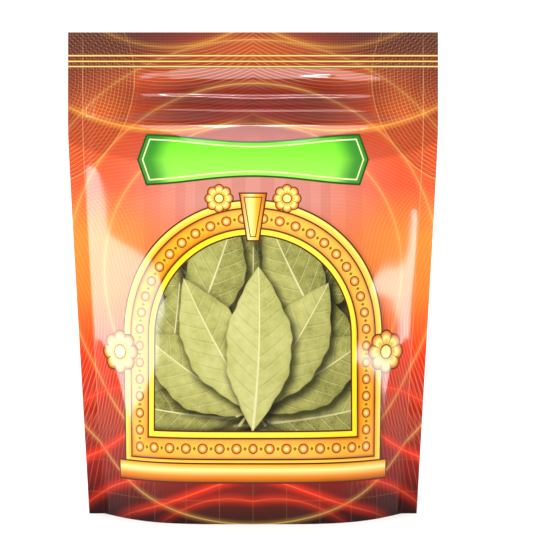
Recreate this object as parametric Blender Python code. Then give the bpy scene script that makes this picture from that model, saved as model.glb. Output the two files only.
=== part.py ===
"""A stand-up pouch of printed film, closed, standing, and filled with dried bay leaves.

Metres, +Z up, front towards -Y. The origin is on the floor under the middle of the pouch.
Shapes are worked out in millimetres and scaled once, where a mesh is made.
"""
import math
import random

import bmesh
import bpy
import numpy as np

MM = 0.001

# The film and the pouch's outline
FLAT_WIDTH = 150.0
HEIGHT = 195.0
FOOT_WIDTH = 132.6
SIDE_SEAL = 6.0
TOP_SEAL = 14.0
FILM = 0.5
GAP = 0.3

# The belly is boxy at the foot and rounder from here up
BELLY_TOP = 157.5
ROUND_FROM = 90.0
FOOT_SECTION = (4.0, 1.2)
BODY_SECTION = (2.4, 1.05)
TAPER_SOFTNESS = 0.06

# The folded bottom gusset and its round-cornered seal
GUSSET_FOLD = 40.0
SKIRT_SEAL = 5.0
SEAL_CURVE_REACH = 0.985
ARCH_SQUARENESS = 2.6

# The press-to-close strips
ZIP_LOW = 160.5
ZIP_HIGH = 171.5
ZIP_HALF_LENGTH = 63.5
ZIP_CORE = 0.85

# A dried bay leaf
LEAF_LENGTH = 66.0
LEAF_WIDTH = 26.0
LEAF_THICKNESS = 0.6
RIB_DEPTH = 0.5
STALK_LENGTH = 7.0
STALK_WIDTH = 1.6
SEED = 11

# How finely the meshes follow their curves
SIDE_STEPS = 12
SKIRT_STEPS = 3
ARCH_STEPS = 12
ROWS = (0, 7, 14, 22, 31, 40, 44, 48, 58, 70, 82, 94, 106, 117, 127, 136, 144, 150, 154,
        157.5, 159.5, 166, 172.5, 175, 178, 181, 188, HEIGHT)

SEAM = (GAP + FILM) / 2
ZIP_RISE = ZIP_CORE + FILM + GAP + FILM / 2 - SEAM


def ramp(value, start, end):
    """0 up to start, 1 from end on, and smooth between them."""
    t = min(max((value - start) / (end - start), 0.0), 1.0)
    return t * t * (3 - 2 * t)


def half_width(z):
    """Half the standing pouch's width at a height."""
    t = max(0.0, 1 - z / BELLY_TOP)
    taper = t * t / (t + TAPER_SOFTNESS) * (1 + TAPER_SOFTNESS)
    return (FLAT_WIDTH - (FLAT_WIDTH - FOOT_WIDTH) * taper) / 2


def section_powers(z):
    """The two powers that shape the belly's section at a height."""
    t = min(z / ROUND_FROM, 1.0)
    return [foot + (body - foot) * t for foot, body in zip(FOOT_SECTION, BODY_SECTION)]


def belly_from_film(z):
    """The belly's depth at which its section is as long as the flat film between the seals."""
    across_half = half_width(z) - SIDE_SEAL
    film_half = FLAT_WIDTH / 2 - SIDE_SEAL
    edge, power = section_powers(z)
    r = np.linspace(0, 1, 600)
    shape = (1 - r ** edge) ** power
    low, high = 0.0, film_half
    for _ in range(30):
        middle = (low + high) / 2
        length = np.hypot(np.diff(r * across_half), np.diff(shape * middle)).sum()
        if length < film_half:
            low = middle
        else:
            high = middle
    return low


TABLE_HEIGHTS = np.linspace(0, BELLY_TOP, 106)
TABLE_DEPTHS = [belly_from_film(z) for z in TABLE_HEIGHTS]


def spread(r, z):
    """Distance from the centre plane to the film's middle, where nothing pushes the belly out."""
    gusset = (FILM + GAP) * (1 - ramp(z, GUSSET_FOLD + 1, GUSSET_FOLD + 8)) * ramp(r, 0.8, 1)
    rise = ramp(z, BELLY_TOP - 12, ZIP_LOW - 1) * (1 - ramp(z, ZIP_HIGH + 1, HEIGHT - TOP_SEAL))
    zip_end = ZIP_HALF_LENGTH / (FLAT_WIDTH / 2 - SIDE_SEAL)
    return SEAM + gusset + ZIP_RISE * rise * (1 - ramp(r, zip_end + 0.005, 1))


def depth(u, z):
    """Distance from the centre plane to the middle of the front or back film.

    u runs from -1 to 1 between the side seals, and on to -2 and 2 at the cut edges.
    """
    r = min(abs(u), 1.0)
    edge, power = section_powers(z)
    belly = np.interp(z, TABLE_HEIGHTS, TABLE_DEPTHS) if z < BELLY_TOP else 0.0
    return spread(r, z) + belly * (1 - r ** edge) ** power


def across(u, z):
    """The place along X of the station u at a height."""
    inner = half_width(z) - SIDE_SEAL
    if abs(u) <= 1:
        return u * inner
    return math.copysign(inner + (abs(u) - 1) * SIDE_SEAL, u)


def inset_depth(u, z, inset):
    """Depth of the surface that runs this far inside the middle of the film."""
    step = 0.004
    inner = half_width(z) - SIDE_SEAL
    slope_x = (depth(u + step, z) - depth(u - step, z)) / (2 * step * inner)
    slope_z = depth(u, z + 0.5) - depth(u, z - 0.5)
    if abs(u) >= 1:
        slope_x = 0.0
    return depth(u, z) - inset * math.sqrt(1 + slope_x ** 2 + slope_z ** 2)


def stations():
    """Places across the pouch, closer together towards the side seals."""
    inner = [math.sin(math.pi / 2 * k / SIDE_STEPS) for k in range(-SIDE_STEPS, SIDE_STEPS + 1)]
    return [-2.0] + inner + [2.0]


def thicken(middle, thickness):
    """Two grids of points, half the thickness to each side of a middle grid."""
    along = np.gradient(middle, axis=0)
    cross = np.gradient(middle, axis=1)
    normal = np.cross(along, cross)
    normal /= np.linalg.norm(normal, axis=2, keepdims=True)
    half = np.asarray(thickness) / 2
    return middle + normal * half, middle - normal * half


def level_rows(grid, heights, rows):
    """Puts the named rows of a grid back on their exact heights."""
    for row in rows:
        grid[row, :, 2] = heights[row]
    return grid


def make_object(name, points, faces, material):
    """An object whose faces all point outwards."""
    mesh = bpy.data.meshes.new(name)
    mesh.from_pydata([tuple(MM * c for c in p) for p in points], [], faces)
    shell = bmesh.new()
    shell.from_mesh(mesh)
    bmesh.ops.recalc_face_normals(shell, faces=shell.faces)
    shell.to_mesh(mesh)
    shell.free()
    mesh.materials.append(material)
    mesh.shade_smooth()
    mesh.set_sharp_from_angle(angle=math.radians(40))
    piece = bpy.data.objects.new(name, mesh)
    bpy.context.scene.collection.objects.link(piece)
    return piece


def make_sheet(name, one_side, other_side, material):
    """A closed sheet between two grids of points, with both sides split into triangles alike."""
    rows, columns = one_side.shape[:2]
    size = rows * columns
    points = np.concatenate([one_side.reshape(-1, 3), other_side.reshape(-1, 3)])
    faces = []
    for i in range(rows - 1):
        for j in range(columns - 1):
            a = i * columns + j
            b, c, d = a + 1, a + columns + 1, a + columns
            faces += [(a, b, c), (a, c, d)]
            faces += [(size + c, size + b, size + a), (size + d, size + c, size + a)]
    rim = [j for j in range(columns)]
    rim += [i * columns + columns - 1 for i in range(1, rows)]
    rim += [(rows - 1) * columns + j for j in range(columns - 2, -1, -1)]
    rim += [i * columns for i in range(rows - 2, 0, -1)]
    for a, b in zip(rim, rim[1:] + rim[:1]):
        faces.append((b, a, size + a, size + b))
    return make_object(name, points.tolist(), faces, material)


def make_material(name, colour, roughness):
    """A plain finish in one colour."""
    material = bpy.data.materials.new(name)
    material.use_nodes = True
    shader = material.node_tree.nodes["Principled BSDF"]
    shader.inputs["Base Color"].default_value = (*colour, 1)
    shader.inputs["Roughness"].default_value = roughness
    shader.inputs["Metallic"].default_value = 0.0
    return material


def make_panel(name, side, material):
    """The front film with side -1, the back film with side 1."""
    middle = np.array([[(across(u, z), side * depth(u, z), z) for u in stations()] for z in ROWS])
    faces = thicken(middle, FILM)
    heights = {0: 0.0, -1: HEIGHT}
    outer, inner = (level_rows(grid, heights, (0, -1)) for grid in faces)
    return make_sheet(name, outer, inner, material)


def seal_height(u):
    """Height of the round-cornered seal between the gusset and a panel."""
    reach = SEAL_CURVE_REACH * min(abs(u), 1.0)
    return SKIRT_SEAL + (GUSSET_FOLD - SKIRT_SEAL) * (1 - math.sqrt(1 - reach ** 2))


def arch(half_chord, rise, turn):
    """A point on the gusset's arch: its place across, and its height over the seal."""
    power = 2 / ARCH_SQUARENESS
    beside = abs(math.cos(turn)) ** power
    return math.copysign(beside, math.cos(turn)) * half_chord, math.sin(turn) ** power * rise


def arch_rise(half_chord, film_length):
    """The rise at which the arch is as long as the gusset's free film."""
    turns = np.linspace(0, math.pi, 121)
    low, high = 0.0, film_length
    for _ in range(30):
        middle = (low + high) / 2
        points = np.array([arch(half_chord, middle, abs(t)) for t in turns[:-1]] + [(-half_chord, 0)])
        length = np.hypot(*np.diff(points, axis=0).T).sum()
        if length < film_length:
            low = middle
        else:
            high = middle
    return low


def gusset_measures(u):
    """The seal's height, the half chord and the rise of the arch at a station."""
    sealed = seal_height(u)
    chord = inset_depth(u, sealed, FILM + GAP)
    return sealed, chord, arch_rise(chord, 2 * (GUSSET_FOLD - sealed))


def gusset_section(u, inset, growth):
    """One side of the gusset's film: front skirt, arch over the floor, back skirt."""
    sealed, chord, rise = gusset_measures(u)
    least = GAP / 2 if growth < 0 else GAP / 2 + FILM
    skirt = [sealed * k / SKIRT_STEPS for k in range(SKIRT_STEPS + 1)]
    half = [(max(inset_depth(u, z, inset), least), z) for z in skirt]
    for k in range(1, ARCH_STEPS // 2 + 1):
        beside, over = arch(chord + growth, rise + growth, math.pi * k / ARCH_STEPS)
        z = sealed + over
        limit = max(inset_depth(u, z, inset), least)
        half.append((min(beside, limit), z))
    half[-1] = (0.0, half[-1][1])
    front = [(across(u, z), -y, z) for y, z in half]
    back = [(across(u, z), y, z) for y, z in half[-2::-1]]
    return front + back


def make_gusset(material):
    """The film folded up into the foot, opened into an arch by what the pouch holds."""
    upper = [gusset_section(u, FILM / 2 + GAP, FILM / 2) for u in stations()]
    under = [gusset_section(u, FILM * 1.5 + GAP, -FILM / 2) for u in stations()]
    return make_sheet("bottom_gusset", np.array(upper), np.array(under), material)


def make_strip(name, profile, material):
    """A zip strip: a profile of (depth, height) points, drawn out along X."""
    middle = (ZIP_LOW + ZIP_HIGH) / 2
    count = len(profile)
    points = [(x, y, middle + z) for x in (-ZIP_HALF_LENGTH, ZIP_HALF_LENGTH) for y, z in profile]
    faces = [tuple(range(count)), tuple(range(2 * count - 1, count - 1, -1))]
    for a in range(count):
        b = (a + 1) % count
        faces.append((b, a, count + a, count + b))
    return make_object(name, points, faces, material)


def rib_profile():
    """A flange with a mushroom rib, for the back film."""
    flange = (ZIP_HIGH - ZIP_LOW) / 2
    neck, head = 0.5, 0.8
    shoulder, tip = 0.05, -0.45
    upper = [(ZIP_CORE, flange), (ZIP_CORE, neck), (shoulder, neck), (shoulder, head), (tip, head)]
    lower = [(y, -z) for y, z in reversed(upper)]
    outside = ZIP_CORE + FILM
    return [(outside, flange)] + upper + lower + [(outside, -flange)]


def groove_profile():
    """A flange with two hooked walls that grip the rib, for the front film."""
    flange = (ZIP_HIGH - ZIP_LOW) / 2
    wall_in, wall_out, hook = 1.1, 1.7, 0.8
    hook_start, hook_end = 0.35, 0.55
    upper = [(-ZIP_CORE, flange), (-ZIP_CORE, wall_out), (hook_end, wall_out), (hook_end, hook),
             (hook_start, hook), (hook_start, wall_in), (-ZIP_CORE, wall_in)]
    lower = [(y, -z) for y, z in reversed(upper)]
    outside = -ZIP_CORE - FILM
    return [(outside, flange)] + upper + lower + [(outside, -flange)]


def leaf_outline():
    """Stations along a leaf: how far from its middle, its half width and its thickness."""
    blade = LEAF_LENGTH - STALK_LENGTH
    start = -LEAF_LENGTH / 2
    rows = [(start, STALK_WIDTH / 2, 1.1), (start + STALK_LENGTH * 0.9, STALK_WIDTH / 2, 0.9)]
    steps = 9
    for k in range(1, steps):
        t = k / steps
        width = math.sin(math.pi * t ** 0.92) ** 0.85
        rows.append((start + STALK_LENGTH + blade * t, LEAF_WIDTH / 2 * width, LEAF_THICKNESS))
    rows.append((LEAF_LENGTH / 2, 0.4, LEAF_THICKNESS))
    return rows


def leaf_middle(x0, z0, lean, slab, size, swing):
    """The middle grid of a leaf that stands in one layer between the front and back films."""
    grid = []
    for along, width, _ in leaf_outline():
        row = []
        for side in (-1, -0.5, 0, 0.5, 1):
            p = side * width * size
            q = along * size
            x = x0 + p * math.cos(lean) + q * math.sin(lean)
            z = z0 - p * math.sin(lean) + q * math.cos(lean)
            u = x / (half_width(z) - SIDE_SEAL)
            wave = 0.035 * math.sin(swing + q / 9) + 0.03 * side * side * math.cos(swing)
            room = inset_depth(u, z, FILM / 2 + GAP + LEAF_THICKNESS)
            row.append((x, room * (slab + wave), z))
        grid.append(row)
    return np.array(grid)


def clearance_over_gusset(grid):
    """The least height of a leaf's points over the gusset's arch."""
    least = HEIGHT
    for x, y, z in grid.reshape(-1, 3):
        u = x / (half_width(z) - SIDE_SEAL)
        sealed, chord, rise = GUSSET_TABLE[min(GUSSET_TABLE, key=lambda s: abs(s - abs(u)))]
        share = min(abs(y) / (chord + FILM), 1.0)
        top = sealed + (rise + FILM) * (1 - share ** ARCH_SQUARENESS) ** (1 / ARCH_SQUARENESS)
        least = min(least, z - top)
    return least


GUSSET_TABLE = {u / 40: gusset_measures(u / 40) for u in range(41)}


def settle(x0, start, lean, slab, size, swing, fall):
    """Lowers a leaf until it touches the gusset, or by as much as its neighbours let it."""
    z0 = start
    grid = leaf_middle(x0, z0, lean, slab, size, swing)
    while clearance_over_gusset(grid) > 1.2 and start - z0 < fall:
        z0 -= 0.5
        grid = leaf_middle(x0, z0, lean, slab, size, swing)
    return grid


def make_leaf(name, grid, size, material):
    """A leaf with a thin blade, a rib along its underside and a short stalk."""
    thick = np.array([[t * size] * 5 for _, _, t in leaf_outline()])
    thick = np.maximum(thick, LEAF_THICKNESS)
    one_side, other_side = thicken(grid, thick[:, :, None])
    rib = other_side[:, 2] - one_side[:, 2]
    rib /= np.linalg.norm(rib, axis=1, keepdims=True)
    other_side[:, 2] += rib * RIB_DEPTH
    return make_sheet(name, one_side, other_side, material)


def make_leaves(material):
    """Two rows of leaves, stood on edge between the films as they pack down in the pouch."""
    draw = random.Random(SEED)
    lower_slabs = [-0.84 + 0.24 * k for k in range(8)]
    upper_slabs = [-0.48 + 0.24 * k for k in range(5)]
    places = []
    for k, slab in enumerate(lower_slabs):
        for x0 in ((-40, 16) if k % 2 else (-16, 40)):
            places.append((x0, 85, slab, 60))
    for k, slab in enumerate(upper_slabs):
        places.append(((-26, 22, -2, 28, -20)[k], 112, slab, 2 + 2 * (k % 3)))
    for k, (x0, start, slab, fall) in enumerate(places):
        size = draw.uniform(0.88, 1.0)
        lean = math.radians(draw.uniform(-13, 13)) + math.pi * draw.choice((0, 1))
        swing = draw.uniform(0, 2 * math.pi)
        grid = settle(x0, start, lean, slab, size, swing, fall)
        make_leaf(f"bay_leaf_{k + 1:02d}", grid, size, material)


def clear_scene():
    """Removes what the scene holds."""
    for piece in list(bpy.data.objects):
        bpy.data.objects.remove(piece)


def main():
    clear_scene()
    make_panel("front_panel", -1, make_material("printed_film_front", (0.72, 0.13, 0.05), 0.18))
    make_panel("back_panel", 1, make_material("printed_film_back", (0.70, 0.14, 0.06), 0.18))
    make_gusset(make_material("printed_film_gusset", (0.16, 0.02, 0.02), 0.22))
    strip_material = make_material("clear_polythene", (0.82, 0.82, 0.80), 0.35)
    make_strip("zip_rib_strip", rib_profile(), strip_material)
    make_strip("zip_groove_strip", groove_profile(), strip_material)
    make_leaves(make_material("dried_bay_leaf", (0.30, 0.33, 0.14), 0.6))


main()
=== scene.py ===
"""The looks of a stand-up pouch of bay leaves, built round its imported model.

Lengths are millimetres and become metres where a mesh is made. On the flat film, s runs across
from the pouch's middle and z runs up from its foot.
"""

import math

import bmesh
import bpy
import numpy as np
from mathutils import Matrix, Vector


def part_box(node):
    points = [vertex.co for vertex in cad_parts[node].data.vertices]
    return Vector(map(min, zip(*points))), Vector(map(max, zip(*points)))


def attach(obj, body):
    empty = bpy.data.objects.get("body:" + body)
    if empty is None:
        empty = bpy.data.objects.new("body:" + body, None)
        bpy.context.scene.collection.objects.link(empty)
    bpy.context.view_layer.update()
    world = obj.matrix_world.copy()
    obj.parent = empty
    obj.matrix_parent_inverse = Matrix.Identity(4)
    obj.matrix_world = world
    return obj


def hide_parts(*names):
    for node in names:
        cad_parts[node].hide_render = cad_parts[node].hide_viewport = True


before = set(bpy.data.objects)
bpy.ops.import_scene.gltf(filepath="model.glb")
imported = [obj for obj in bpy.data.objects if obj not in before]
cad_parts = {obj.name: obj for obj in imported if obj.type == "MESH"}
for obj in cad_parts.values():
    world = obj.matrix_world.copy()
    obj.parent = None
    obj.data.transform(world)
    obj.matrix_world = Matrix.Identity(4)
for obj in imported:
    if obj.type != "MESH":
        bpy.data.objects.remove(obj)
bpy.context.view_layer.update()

MM = 0.001
METRE = 1000.0

# The pouch, as its solids have it
high_corner = np.array(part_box("front_panel")[1]) * METRE
FLAT_HALF = high_corner[0]
HEIGHT = high_corner[2]
FOOT_HALF = 66.3
SIDE_SEAL = 6.0
SEAL_FOOT = HEIGHT - 14.0
BELLY_TOP = 157.5
ROUND_FROM = 90.0
FOOT_SECTION = (4.0, 1.2)
BODY_SECTION = (2.4, 1.05)
TAPER_SOFTNESS = 0.06
GUSSET_FOLD = 40.0
SKIRT_SEAL = 5.0
SEAL_CURVE_REACH = 0.985
ARCH_SQUARENESS = 2.6

# The film as it looks: thinner than the solids' walls, and fused at the seals
FILM = 0.16
SEAM = 0.1
LAYER = 0.18
THINNEST = 0.02
SHARP_ANGLE = math.radians(62)
FREE_HALF = FLAT_HALF - SIDE_SEAL

# Where the unevenness of each panel starts, so that the two differ
FRONT_PHASE = 0.7
BACK_PHASE = 2.9

# The zip's relief: heights, and how far the film stands off the middle there
ZIP_PROFILE = (
    (SEAL_FOOT, 0.0), (180.2, 0.25), (176.0, 2.2), (174.8, 2.58), (174.0, 2.1), (171.2, 1.65),
    (169.7, 1.68), (168.2, 2.76), (167.8, 2.86), (167.2, 2.1), (165.3, 1.65), (163.6, 2.1),
    (163.0, 2.3), (162.3, 2.75), (160.6, 1.65), (159.4, 1.1), (158.2, 0.95), (150.0, 0.5), (142.0, 0.0),
)
ZIP_VALLEY = 1.66
ZIP_HALF_LENGTH = 63.5
CREASE_HEIGHT = 174.4
RIDGE_HEIGHT = 166.0
SEAL_SLOPE = 0.26

# How finely the film's shape is worked out
SECTION_SAMPLES = 500
SECTION_HALVINGS = 30
ARCH_SAMPLES = 60
ARCH_HALVINGS = 24

# The film's gloss: at the foot's edge, what it gains above that, and the height where it is full
FOOT_GLOSS = 0.2
GLOSS_GAIN = 0.38
FULL_GLOSS = 40

# The spans of the maps, and where their middle lies
PRINT_SPAN = 200
LEAF_SPAN = 100
MAP_MIDDLE = 0.5

# The print, on the flat film
GOLD_LINES = (185.5, 183.2, 181.1)
BAND_MIDDLE = 143.0
BAND_HALF_HEIGHT = 8.2
BAND_HALF_WIDTH = 46.0
ARCH_HALF_WIDTH = 53.0
ARCH_SPRING = 73.0
ARCH_FOOT = 22.0
FRAME_WIDTH = 14.0
BEAD_SPACING = 6.6
PLINTH_HALF_WIDTH = 56.5
PICTURE_REACH = 66.0
PICTURE_FOOT = 14.0
PICTURE_TOP = 134.5
HALO_MIDDLE = 96

# The bare panel on the back
PANEL_MIDDLE = 74
PANEL_HALVES = (50, 48)
PANEL_CORNER = 6.0

# The studio: the sky's strength, and places and lengths in metres
SKY_STRENGTH = 0.22
POUCH_MIDDLE = (0, 0, 0.1)
BEHIND_POUCH = (0, 0.45, 0)
SWEEP_HALF_WIDTH = 1.6
SWEEP_FRONT = -1.6
SWEEP_BACK = 0.9
SWEEP_RADIUS = 0.5
SWEEP_TOP = 1.8
SWEEP_STEPS = 32

# The camera, level, at about half the pouch's height; all but the sensor in metres
CAMERA_DISTANCE = 0.56
CAMERA_HEIGHT = 0.0958
VIEW_WIDTH = 0.2246
VIEW_SHIFT = 0.0433
SENSOR = 36.0


def srgb(red, green, blue):
    """A colour given as it looks on a screen."""
    levels = [c / 255 for c in (red, green, blue)]
    return tuple(c / 12.92 if c <= 0.04045 else ((c + 0.055) / 1.055) ** 2.4 for c in levels) + (1.0,)


def smooth(values, start, end):
    """0 up to start, 1 from end on, and smooth between them, for arrays."""
    t = np.clip((values - start) / (end - start), 0, 1)
    return t * t * (3 - 2 * t)


# The film's shape

def half_width(z):
    """Half the standing pouch's width at a height."""
    t = np.clip(1 - z / BELLY_TOP, 0, None)
    taper = t * t / (t + TAPER_SOFTNESS) * (1 + TAPER_SOFTNESS)
    return FLAT_HALF - (FLAT_HALF - FOOT_HALF) * taper


def section_powers(z):
    """The two powers that shape the belly's section at a height."""
    t = np.clip(z / ROUND_FROM, 0, 1)
    return [foot + (body - foot) * t for foot, body in zip(FOOT_SECTION, BODY_SECTION)]


def solve_section(z):
    """The belly's depth at a height, and where each place on the film comes to lie."""
    reach = half_width(z) - SIDE_SEAL
    edge, power = section_powers(z)
    r = np.sin(np.linspace(0, math.pi / 2, SECTION_SAMPLES))
    shape = (1 - r ** edge) ** power
    low, high = 0.0, FREE_HALF
    for _ in range(SECTION_HALVINGS):
        middle = (low + high) / 2
        steps = np.hypot(np.diff(r * reach), np.diff(shape * middle))
        if steps.sum() < FREE_HALF:
            low = middle
        else:
            high = middle
    travelled = np.concatenate([[0], np.cumsum(steps)])
    return low, np.interp(FILM_PLACES, travelled / travelled[-1] * FREE_HALF, r)


FILM_PLACES = np.linspace(0, FREE_HALF, 277)
TABLE_HEIGHTS = np.linspace(0, BELLY_TOP, 211)
SECTIONS = [solve_section(z) for z in TABLE_HEIGHTS]
BELLY_DEPTHS = np.array([depth for depth, _ in SECTIONS])
FILM_SPREAD = np.array([places for _, places in SECTIONS])
zip_heights, zip_offsets = (np.array(values[::-1]) for values in zip(*ZIP_PROFILE))
FINE_HEIGHTS = np.linspace(140, HEIGHT, 1101)
KERNEL = np.hanning(13) / np.hanning(13).sum()
FINE_OFFSETS = np.convolve(np.interp(FINE_HEIGHTS, zip_heights, zip_offsets), KERNEL, "same")


def free_place(s, z):
    """How far across the free film a place on the flat film lies, from 0 to 1."""
    row = np.clip(z / BELLY_TOP, 0, 1) * (len(TABLE_HEIGHTS) - 1)
    column = np.clip(np.abs(s) / FREE_HALF, 0, 1) * (len(FILM_PLACES) - 1)
    i = np.minimum(row.astype(int), len(TABLE_HEIGHTS) - 2)
    j = np.minimum(column.astype(int), len(FILM_PLACES) - 2)
    up, along = row - i, column - j
    lower = FILM_SPREAD[i, j] * (1 - along) + FILM_SPREAD[i, j + 1] * along
    upper = FILM_SPREAD[i + 1, j] * (1 - along) + FILM_SPREAD[i + 1, j + 1] * along
    return lower * (1 - up) + upper * up


def zip_relief(s, z, phase):
    """How far the film stands off at the zip, with the uneven crease over its upper edge."""
    calm = 1 - smooth(np.abs(s), 50, ZIP_HALF_LENGTH)
    waves = np.sin(s / 6.1 + phase) + 0.6 * np.sin(s / 3.1 + 2 * phase) + 0.8 * np.sin(s / 13 + 3)
    sway = np.sin(s / 19 + phase) + 0.5 * np.sin(s / 8.3 + 2)
    near_crease = np.exp(-((z - CREASE_HEIGHT) / 2.2) ** 2)
    near_ridge = np.exp(-((z - RIDGE_HEIGHT) / 4.5) ** 2)
    shifted = z + calm * (near_crease * 0.62 * waves + near_ridge * 0.5 * sway)
    offset = np.interp(shifted, FINE_HEIGHTS, FINE_OFFSETS)
    puckers = 0.1 * np.sin(s / 4.7 + z / 2.3 + phase) * np.sin(s / 9.1 - z / 3.7)
    above = np.exp(-((z - 177.5) / 2.2) ** 2) + np.exp(-((z - 155.0) / 4.0) ** 2)
    offset = offset * (1 + 0.09 * calm * sway) + calm * above * puckers
    # Towards the zip's ends the ridges sink to its valleys, under a gentler slope to the top seal
    gentle = np.clip(SEAL_SLOPE * (SEAL_FOOT - z), 0, ZIP_VALLEY)
    ridge = np.clip(offset - gentle, 0, None)
    slant = np.clip(z - 174, 0, None) * 2.4 + 1.6 * np.sin(z / 1.1 + s / 40 + phase)
    offset = offset - ridge * smooth(np.abs(s) + slant, 32, 60)
    return offset * (1 - smooth(np.abs(s), 62.5, FREE_HALF))


def dents(s, z, phase):
    """Slow unevenness of the filled film, none at the seals."""
    inside = smooth(FREE_HALF - np.abs(s), 0, 14) * smooth(z, 0, 22) * smooth(BELLY_TOP - z, 0, 22)
    wave = np.sin(s / 13 + z / 31 + phase) * np.sin(z / 17 - s / 39 + 2 * phase)
    fine = np.sin(s / 7.1 - z / 12 + 3 * phase) * np.sin(z / 8.3 + s / 21)
    return inside * (0.2 + 0.28 * wave + 0.07 * fine)


def film_depth(s, z, phase):
    """Distance from the centre plane to the film's middle."""
    r = free_place(s, z)
    edge, power = section_powers(z)
    belly = np.where(z < BELLY_TOP, np.interp(z, TABLE_HEIGHTS, BELLY_DEPTHS), 0)
    gusset = LAYER * (1 - smooth(z, GUSSET_FOLD, GUSSET_FOLD + 5)) * smooth(r, 0.8, 1)
    bulge = belly * np.clip(1 - r ** edge, 0, None) ** power
    return SEAM + gusset + zip_relief(s, z, phase) + bulge + dents(s, z, phase)


def film_across(s, z):
    """How far across the standing pouch a place on the flat film lies."""
    reach = half_width(z) - SIDE_SEAL
    beyond = np.clip(np.abs(s) - FREE_HALF, 0, None)
    return np.sign(s) * (free_place(s, z) * reach + beyond)


def film_points(s, z, side, phase):
    """Places in space of places on the flat film; side is -1 in front and 1 behind."""
    return np.stack([film_across(s, z), side * film_depth(s, z, phase), z], axis=-1)


def mesh_lines():
    """Where the film's mesh has its lines, close together at folds and ridges."""
    near_seal = [75, 74.5, 72, 70, 69.5, 69.2, 69, 68.75, 68.4, 67.9, 67.2, 66.3, 65.2]
    inner = list(np.linspace(64, 0, 44))
    right = np.array(near_seal + inner)
    across = np.concatenate([-right, right[-2::-1]])
    foot = np.array([0, 0.5, 1.2, 2.5, 4, 6])
    body = np.linspace(8, 150, 64)
    low_ridge = np.arange(151, 166.8, 0.4)
    sharp_ridge = np.arange(167, 169.3, 0.2)
    high_ridge = np.arange(169.6, 183, 0.4)
    top = np.array([184, 187, 190, 192.5, HEIGHT - 0.6, HEIGHT])
    return across, np.concatenate([foot, body, low_ridge, sharp_ridge, high_ridge, top])


def grid_normals(points):
    """Unit normals of a grid of points."""
    normal = np.cross(np.gradient(points, axis=0), np.gradient(points, axis=1))
    return normal / np.linalg.norm(normal, axis=-1, keepdims=True)


def sheet_faces(rows, columns):
    """Faces of a closed sheet: one side, the other side and the rim."""
    i, j = np.meshgrid(np.arange(rows - 1), np.arange(columns - 1), indexing="ij")
    a = (i * columns + j).ravel()
    side = np.stack([a, a + 1, a + columns + 1, a + columns], axis=1)
    size = rows * columns
    other = side[:, ::-1] + size
    ring = list(range(columns)) + [k * columns + columns - 1 for k in range(1, rows)]
    ring += [(rows - 1) * columns + k for k in range(columns - 2, -1, -1)]
    ring += [k * columns for k in range(rows - 2, 0, -1)]
    rim = [(b, a, a + size, b + size) for a, b in zip(ring, ring[1:] + ring[:1])]
    return side, other, np.array(rim)


def place_object(name, data):
    """A new object in the scene."""
    piece = bpy.data.objects.new(name, data)
    bpy.context.scene.collection.objects.link(piece)
    return piece


def turn_outwards(mesh):
    """Flips a closed sheet whose faces point inwards."""
    volume = 0.0
    for face in mesh.polygons:
        a, b, c = (mesh.vertices[k].co for k in face.vertices[:3])
        d = mesh.vertices[face.vertices[3]].co
        volume += a.dot(b.cross(c)) + a.dot(c.cross(d))
    if volume < 0:
        mesh.flip_normals()


def build_sheet(name, outer, inner, materials, slots, maps):
    """A closed sheet object; slots gives each face's material and maps each UV map's corners."""
    side, other, rim = sheet_faces(*outer.shape[:2])
    faces = np.concatenate([side, other, rim])
    points = np.concatenate([outer.reshape(-1, 3), inner.reshape(-1, 3)]) * MM
    mesh = bpy.data.meshes.new(name)
    mesh.from_pydata(points.tolist(), [], faces.tolist())
    for material in materials:
        mesh.materials.append(material)
    mesh.polygons.foreach_set("material_index", slots)
    for map_name, corners in maps.items():
        layer = mesh.uv_layers.new(name=map_name)
        layer.data.foreach_set("uv", corners.astype(np.float32).ravel())
    mesh.shade_smooth()
    mesh.set_sharp_from_angle(angle=SHARP_ANGLE)
    turn_outwards(mesh)
    return place_object(name, mesh)


def sheet_maps(s, z):
    """The print's map, by places on the film, and a map without overlaps for the whole sheet."""
    side, other, rim = sheet_faces(*s.shape)
    flat = np.tile(np.stack([s.ravel(), z.ravel()], axis=1), (2, 1))
    corners = np.concatenate([side.ravel(), other.ravel(), rim.ravel()])
    place = flat[corners]
    print_map = place / PRINT_SPAN + np.array([MAP_MIDDLE, 0])
    # The outer side is large at the left, the inner side small at the lower right
    from_left = place + np.array([FLAT_HALF, 0])
    margin, outer_size, inner_start, inner_size = 0.006, 0.985, 0.768, 0.225
    bake = np.array([margin, margin]) + from_left * (outer_size / HEIGHT)
    inner = corners >= s.size
    bake[inner] = np.array([inner_start, margin]) + from_left[inner] * (inner_size / (2 * FLAT_HALF))
    # The rim's faces stand in a column over the inner side
    left, foot, width, height, share = 0.80, 0.34, 0.02, 0.64, 0.96
    count = len(rim)
    turn = np.arange(count) / count
    rim_corners = np.zeros((count, 4, 2))
    rim_corners[:, :, 0] = left + np.array([0, 0, width, width])
    rim_corners[:, :, 1] = foot + height * (turn[:, None] + np.array([1, 0, 0, 1]) * share / count)
    bake[side.size + other.size:] = rim_corners.reshape(-1, 2)
    return {"Print": print_map, "OFBake": bake}


# Node building

class Value:
    """A number in a material; arithmetic on it adds Math nodes."""

    def __init__(self, builder, socket):
        self.builder = builder
        self.socket = socket

    def __add__(self, other):
        return self.builder.math("ADD", self, other)

    def __sub__(self, other):
        return self.builder.math("SUBTRACT", self, other)

    def __rsub__(self, other):
        return self.builder.math("SUBTRACT", other, self)

    def __mul__(self, other):
        return self.builder.math("MULTIPLY", self, other)

    def __truediv__(self, other):
        return self.builder.math("DIVIDE", self, other)

    def __pow__(self, other):
        return self.builder.math("POWER", self, other)

    def __neg__(self):
        return self * -1

    def __abs__(self):
        return self.builder.math("ABSOLUTE", self)

    __radd__ = __add__
    __rmul__ = __mul__


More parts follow.
